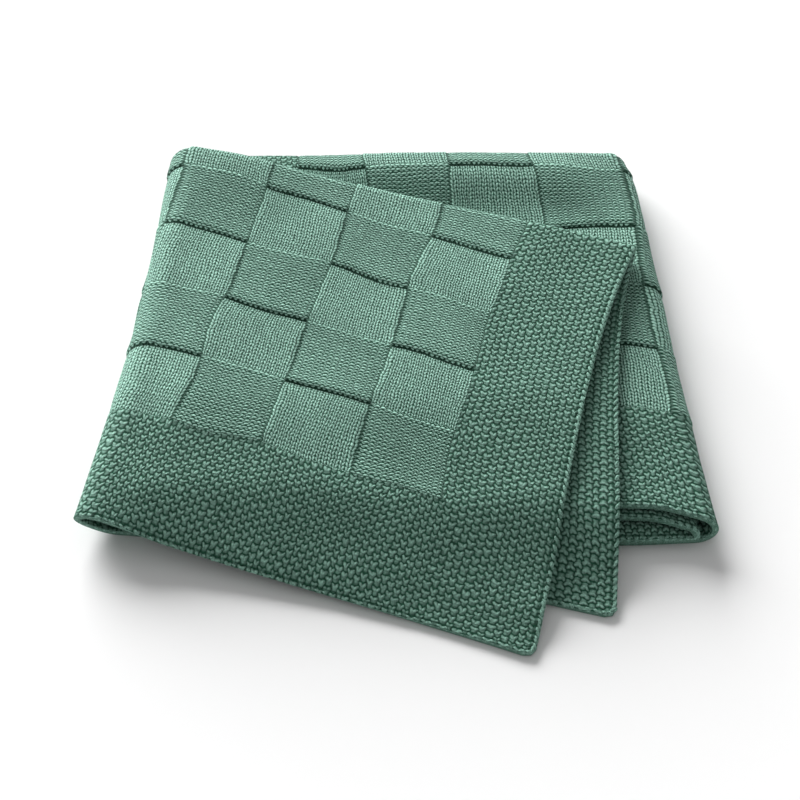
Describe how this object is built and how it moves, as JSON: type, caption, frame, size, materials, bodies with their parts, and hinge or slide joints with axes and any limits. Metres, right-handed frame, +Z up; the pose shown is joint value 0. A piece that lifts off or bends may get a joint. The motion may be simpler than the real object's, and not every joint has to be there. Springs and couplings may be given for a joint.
{
  "type": "knitted baby blanket",
  "caption": "Knitted blanket with a chequer of plain and purl squares and a seed-stitch border, folded in half and then in three with the top flap askew.",
  "frame": {"origin": "on the surface the blanket lies on, under the middle of its bounding box", "axes": "+Z up; the folded blanket's loose front edges face -Y, its doubled back edge +Y; the fold of the top flap is at -X"},
  "size_m": [0.3888, 0.3934, 0.0464],
  "materials": {
    "yarn": "matt cotton knit, sage green"
  },
  "bodies": {
    "root": {"blanket": "yarn"}
  },
  "joints": []
}
